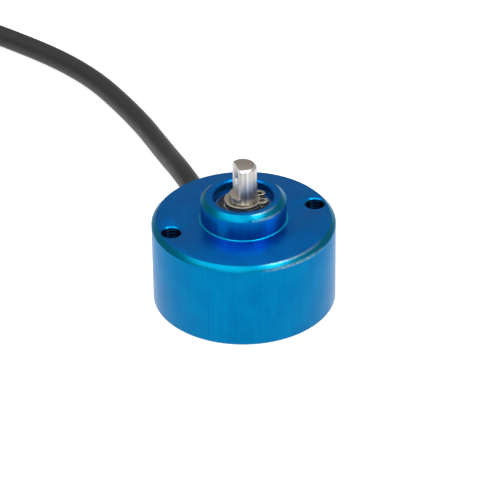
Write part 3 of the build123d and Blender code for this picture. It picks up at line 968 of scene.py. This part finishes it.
# %% Ground shaft
shaft_finish, shaft_shader = new_finish("ground_steel", 1.0)
along = grain(shaft_finish, 0.45, 4.0, (1, 1, 60))
end_rings = rings(shaft_finish, 0.18)
level = add(shaft_finish, "SeparateXYZ", {0: place_on(shaft_finish)}).outputs["Z"]
shaft_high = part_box("shaft")[1].z
flat_length = 7.16
flat_offset = 1.5
on_end = span(shaft_finish, level, shaft_high - 0.05 * MM, shaft_high - 0.01 * MM)
ledge_height = shaft_high - flat_length * MM
off_ledge = add(shaft_finish, "Math", {0: level, 1: ledge_height}, operation="SUBTRACT")
near_ledge = add(shaft_finish, "Math", {0: off_ledge.outputs[0]}, operation="ABSOLUTE")
on_ledge = span(shaft_finish, near_ledge.outputs[0], 0.04 * MM, 0.01 * MM)
sawn = total(shaft_finish, on_end, on_ledge)
sideways = add(shaft_finish, "SeparateXYZ", {0: place_on(shaft_finish)}).outputs["X"]
on_flat = span(shaft_finish, sideways, (0.05 - flat_offset) * MM, (0.01 - flat_offset) * MM)
streaked = blend(
    shaft_finish,
    span(shaft_finish, along, 0.35, 0.65),
    (0.34, 0.335, 0.325),
    (0.74, 0.72, 0.7),
)
sawn_tone = blend(
    shaft_finish,
    span(shaft_finish, end_rings, 0.35, 0.65),
    (0.3, 0.265, 0.22),
    (0.42, 0.38, 0.32),
)
finishes["shaft_steel"] = connect(
    shaft_finish,
    shaft_shader,
    blend(shaft_finish, sawn, streaked, sawn_tone),
    total(
        shaft_finish,
        span(shaft_finish, along, 0.3, 0.7, 0.3, 0.42),
        span(shaft_finish, on_flat, 0.0, 1.0, 0.0, 0.14),
    ),
    total(shaft_finish, along, end_rings),
    0.008,
)
print("the shaft's finish is", len(shaft_finish.node_tree.nodes), "nodes")


# %% Metals with one pattern
def metal(name, pattern, dark, light, smooth_part, rough_part, depth):
    """A metal whose one pattern varies its colour, roughness and relief."""
    material, shader = new_finish(name, 1.0)
    marks = pattern(material)
    return connect(
        material,
        shader,
        blend(material, span(material, marks, 0.3, 0.7), dark, light),
        span(material, marks, 0.3, 0.7, smooth_part, rough_part),
        marks,
        depth,
    )


def stamped(material):
    """The cloudy face of a stamped and tempered part."""
    broad = span(material, grain(material, 1.6), 0, 1, 0, 0.6)
    fine = span(material, grain(material, 0.2), 0, 1, 0, 0.4)
    return total(material, broad, fine)


def turned_rings(pitch):
    """A pattern of turning rings a pitch apart."""
    return lambda material: rings(material, pitch)


def even_grain(size, detail=3.0):
    """A pattern of plain grain of one size."""
    return lambda material: grain(material, size, detail)


# slot: name, pattern, dark and light colours, smoothest and roughest, depth of the relief
metals = {
    "spring_steel": (
        "oiled_spring_steel", stamped, (0.3, 0.265, 0.2), (0.5, 0.455, 0.36), 0.22, 0.36, 0.006
    ),
    "shim_steel": (
        "rolled_shim", stamped, (0.34, 0.31, 0.26), (0.5, 0.47, 0.41), 0.2, 0.34, 0.005
    ),
    "stainless_steel": (
        "screw_steel", even_grain(0.25), (0.5, 0.5, 0.49), (0.68, 0.68, 0.67), 0.2, 0.34, 0.006
    ),
    "bearing_steel": (
        "ground_rings",
        turned_rings(0.16), (0.56, 0.55, 0.54), (0.74, 0.73, 0.72), 0.12, 0.24, 0.004
    ),
    "polished_steel": (
        "polished_balls",
        even_grain(0.8), (0.74, 0.74, 0.75), (0.82, 0.82, 0.83), 0.03, 0.08, 0.0005
    ),
    "shield_steel": (
        "pressed_shield",
        turned_rings(0.3), (0.07, 0.06, 0.055), (0.15, 0.135, 0.12), 0.26, 0.4, 0.006
    ),
    "cage_brass": (
        "pressed_brass", stamped, (0.55, 0.38, 0.13), (0.74, 0.55, 0.24), 0.2, 0.34, 0.005
    ),
    "brass": (
        "turned_brass", turned_rings(0.2), (0.6, 0.43, 0.16), (0.8, 0.62, 0.3), 0.16, 0.3, 0.006
    ),
    "aluminium": (
        "turned_aluminium",
        turned_rings(0.2), (0.62, 0.62, 0.63), (0.8, 0.8, 0.81), 0.2, 0.34, 0.006
    ),
    "nickel_plate": (
        "nickel_plate",
        even_grain(0.3, 4.0), (0.52, 0.5, 0.46), (0.7, 0.68, 0.63), 0.18, 0.3, 0.004
    ),
    "tinned_metal": (
        "tin_plate", even_grain(0.7, 4.0), (0.56, 0.56, 0.56), (0.76, 0.76, 0.75), 0.2, 0.38, 0.02
    ),
}
for slot, recipe in metals.items():
    finishes[slot] = metal(*recipe)
print(len(metals), "metals share one recipe")


# %% [markdown]
# ## Mouldings and insulation
# Rubber, nylon and PVC share one recipe: a fine even grain lifts the surface, and a broader
# cloud shifts its colour and gloss, as handling and the mould do. The cable's jacket is matt
# and reflects less than the rest.


# %% Mould the plastics
def moulding_finish(name, dark, light, smooth_part, rough_part, size, depth, **sockets):
    """A moulded plastic or rubber with an even grain."""
    material, shader = new_finish(name, **sockets)
    fine = grain(material, size, 4.0)
    broad = grain(material, size * 14, 2.0)
    fine_half = span(material, fine, 0, 1, 0, 0.5)
    broad_half = span(material, broad, 0, 1, 0, 0.5)
    mixed = total(material, fine_half, broad_half)
    return connect(
        material,
        shader,
        blend(material, span(material, mixed, 0.35, 0.65), dark, light),
        span(material, mixed, 0.35, 0.65, smooth_part, rough_part),
        fine,
        depth,
    )


finishes["cable_jacket"] = moulding_finish(
    "pvc_jacket",
    (0.006, 0.0055, 0.006),
    (0.013, 0.012, 0.013),
    0.42,
    0.52,
    0.3,
    0.012,
    specular_ior_level=0.36,
)
# slot: name, dark and light colours, smoothest and roughest, size of the grain, its depth
mouldings = {
    "black_rubber": (
        "moulded_rubber", (0.014, 0.014, 0.015), (0.026, 0.026, 0.027), 0.5, 0.66, 0.2, 0.02
    ),
    "tie_black": (
        "black_nylon", (0.016, 0.016, 0.017), (0.028, 0.028, 0.03), 0.34, 0.46, 0.25, 0.008
    ),
    "sleeve_black": (
        "shrink_tubing", (0.014, 0.014, 0.015), (0.024, 0.024, 0.026), 0.3, 0.42, 0.4, 0.02
    ),
    "clamp_nylon": (
        "natural_nylon", (0.62, 0.6, 0.52), (0.74, 0.72, 0.64), 0.32, 0.44, 0.25, 0.006
    ),
    "chip_black": (
        "chip_epoxy", (0.016, 0.016, 0.017), (0.03, 0.03, 0.031), 0.46, 0.6, 0.08, 0.006
    ),
    "ceramic_tan": (
        "capacitor_ceramic", (0.4, 0.27, 0.15), (0.52, 0.38, 0.24), 0.38, 0.5, 0.12, 0.004
    ),
}
for slot, recipe in mouldings.items():
    finishes[slot] = moulding_finish(*recipe)
insulation = {
    "red": ((0.42, 0.015, 0.015), (0.56, 0.03, 0.025)),
    "black": ((0.012, 0.012, 0.013), (0.026, 0.026, 0.028)),
    "white": ((0.7, 0.7, 0.67), (0.82, 0.82, 0.79)),
    "green": ((0.015, 0.22, 0.05), (0.03, 0.34, 0.09)),
    "yellow": ((0.68, 0.48, 0.02), (0.84, 0.64, 0.05)),
}
for colour, (dark, light) in insulation.items():
    finishes[f"wire_{colour}"] = moulding_finish(
        f"wire_insulation_{colour}", dark, light, 0.3, 0.42, 0.2, 0.006
    )
print(len(finishes), "finishes so far")

# %% [markdown]
# ## Circuit board
# The board is glass fibre under a green solder mask. Copper tracks lift the mask and make it
# paler, and the cut edge shows the bare fibre. Tracks run in a grid with cut-outs, so a brick
# pattern gives the lines, and noise decides which of them are there.

# %% Print the board
board_finish, board_shader = new_finish("solder_mask", 0.0, coat_weight=0.6, coat_roughness=0.15)
track_pitch = 0.9
tracks = add(
    board_finish,
    "TexBrick",
    {
        "Vector": place_on(board_finish),
        "Color1": (0, 0, 0, 1),
        "Color2": (0, 0, 0, 1),
        "Mortar": (1, 1, 1, 1),
        "Scale": 1 / (track_pitch * MM),
        "Mortar Size": 0.09,
        "Brick Width": 5.0,
        "Row Height": 1.0,
    },
).outputs["Color"]
laid_out = span(board_finish, grain(board_finish, 3.0, 1.0), 0.46, 0.5)
copper = product(board_finish, tracks, laid_out)
masked = blend(board_finish, copper, (0.008, 0.11, 0.045), (0.03, 0.26, 0.1))
board_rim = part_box("circuit_board")[1].x
board_edge = span(
    board_finish, from_axis(board_finish), board_rim - 0.06 * MM, board_rim - 0.02 * MM
)
weave = grain(board_finish, 0.3, 2.0, (4, 4, 0.5))
fibre = blend(board_finish, weave, (0.2, 0.26, 0.1), (0.42, 0.42, 0.22))
finishes["green_board"] = connect(
    board_finish,
    board_shader,
    blend(board_finish, board_edge, masked, fibre),
    span(board_finish, copper, 0, 1, 0.42, 0.3),
    copper,
    0.03,
)

# %% Put every finish on its pieces
for name, node in frame["nodes"].items():
    for slot in node.material_slots:
        slot.material = finishes[slot_of[name]]
for piece in list(bpy.data.objects):
    if "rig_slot" in piece and "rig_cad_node" not in piece:
        piece.data.materials.clear()
        piece.data.materials.append(finishes[piece["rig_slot"]])

# %% [markdown]
# ## Table and light
# A seamless white table lights the walls of the body from below, as it does in a light tent.
# The world is a tent too: grey near the horizon, which keeps the flange deep blue, and bright
# overhead, where the chamfers look. A small softbox on the right puts the glints on them, a
# wide one on the left lights their far side, and a low one lifts the right of wall and shaft.

# %% White table
table_half = 6
paper_white = 0.42
paper_glow = 0.8
table_mesh = bmesh.new()
bmesh.ops.create_grid(table_mesh, x_segments=1, y_segments=1, size=table_half)
table_data = bpy.data.meshes.new("table_top")
table_mesh.to_mesh(table_data)
table_mesh.free()
table_top = bpy.data.objects.new("table_top", table_data)
bpy.context.scene.collection.objects.link(table_top)
paper, paper_shader = new_finish("white_paper", roughness=0.7)
paper_shader.inputs["Base Color"].default_value = (paper_white, paper_white, paper_white, 1)
paper_shader.inputs["Emission Color"].default_value = (1, 1, 1, 1)
paper_shader.inputs["Emission Strength"].default_value = paper_glow
table_data.materials.append(paper)
print("the table is", 2 * table_half, "m wide")

# %% Light tent
horizon_light = 0.5
overhead_light = 1.4
grey_below, bright_above = 0.6, 0.9
tent = bpy.data.worlds.new("light_tent")
tent.use_nodes = True
sky = tent.node_tree.nodes["Background"]
direction = tent.node_tree.nodes.new("ShaderNodeTexCoord")
split = tent.node_tree.nodes.new("ShaderNodeSeparateXYZ")
rise = tent.node_tree.nodes.new("ShaderNodeMapRange")
rise.interpolation_type = "SMOOTHSTEP"
rise.inputs["From Min"].default_value = grey_below
rise.inputs["From Max"].default_value = bright_above
rise.inputs["To Min"].default_value = horizon_light
rise.inputs["To Max"].default_value = overhead_light
tent.node_tree.links.new(direction.outputs["Generated"], split.inputs[0])
tent.node_tree.links.new(split.outputs["Z"], rise.inputs["Value"])
tent.node_tree.links.new(rise.outputs["Result"], sky.inputs["Strength"])
sky.inputs["Color"].default_value = (1, 1, 1, 1)
bpy.context.scene.world = tent
bpy.context.scene.view_settings.view_transform = "Standard"
print("the tent goes from", horizon_light, "to", overhead_light)


# %% Softboxes
def softbox(name, azimuth, elevation, distance, size, power):
    """A rectangular lamp that looks at the boss from an azimuth and an elevation, in degrees."""
    light = bpy.data.lights.new(name, "AREA")
    light.shape = "RECTANGLE"
    light.size, light.size_y = size
    light.energy = power
    lamp = bpy.data.objects.new(name, light)
    bpy.context.scene.collection.objects.link(lamp)
    turn, lift = math.radians(azimuth), math.radians(elevation)
    heading = Vector(
        (math.cos(turn) * math.cos(lift), math.sin(turn) * math.cos(lift), math.sin(lift))
    )
    lamp.location = heading * distance + Vector((0, 0, 0.02))
    lamp.rotation_euler = (-heading).to_track_quat("-Z", "Y").to_euler()
    return lamp


softbox("glint_softbox", -58, 57, 1.0, (0.3, 0.3), 3.0)
softbox("wide_softbox", -148, 56, 1.0, (1.1, 0.5), 4.5)
softbox("low_softbox", -38, 12, 1.0, (0.5, 0.4), 2.2)
print("three softboxes are up")

# %% The end
bpy.context.view_layer.update()
